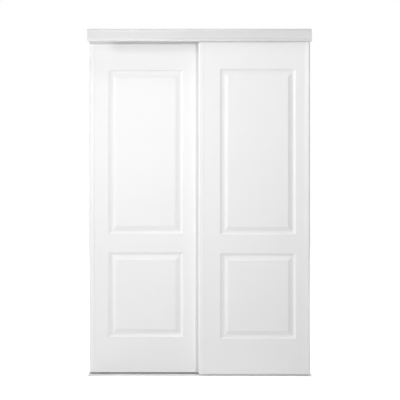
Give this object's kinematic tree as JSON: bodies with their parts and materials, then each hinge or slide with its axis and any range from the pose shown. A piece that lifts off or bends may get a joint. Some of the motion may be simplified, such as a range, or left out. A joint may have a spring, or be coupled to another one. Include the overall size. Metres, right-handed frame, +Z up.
{
  "type": "sliding closet door",
  "caption": "Pair of white moulded panel doors that slide past each other between a floor track and a header with a rounded fascia, to close a closet.",
  "frame": {"origin": "on the floor under the middle of the floor track", "axes": "+X to the right across the doorway seen from the room, -Y towards the room, +Z up"},
  "size_m": [1.311, 0.108, 2.032],
  "materials": {
    "door_paint": "satin white paint on a moulded board",
    "stile_paint": "satin white enamel on rolled steel",
    "header_enamel": "gloss white enamel",
    "track_aluminium": "satin",
    "zinc_steel": "zinc plated",
    "nylon": "natural nylon"
  },
  "bodies": {
    "tracks": {"header_track": "header_enamel", "bottom_track": "track_aluminium"},
    "front_door": {"front_panel": "door_paint", "front_left_stile": "stile_paint", "front_right_stile": "stile_paint", "front_top_rail": "stile_paint", "front_bottom_rail": "stile_paint", "front_left_bracket": "zinc_steel", "front_right_bracket": "zinc_steel", "front_left_wheel": "nylon", "front_right_wheel": "nylon", "front_left_shoe": "nylon", "front_right_shoe": "nylon"},
    "rear_door": {"rear_panel": "door_paint", "rear_left_stile": "stile_paint", "rear_right_stile": "stile_paint", "rear_top_rail": "stile_paint", "rear_bottom_rail": "stile_paint", "rear_left_bracket": "zinc_steel", "rear_right_bracket": "zinc_steel", "rear_left_wheel": "nylon", "rear_right_wheel": "nylon", "rear_left_shoe": "nylon", "rear_right_shoe": "nylon"}
  },
  "joints": [
    {"name": "front_door_slide", "type": "slide", "parent": "tracks", "child": "front_door", "axis": [-1, 0, 0], "range_m": [0, 0.646]},
    {"name": "rear_door_slide", "type": "slide", "parent": "tracks", "child": "rear_door", "axis": [1, 0, 0], "range_m": [0, 0.656]}
  ]
}
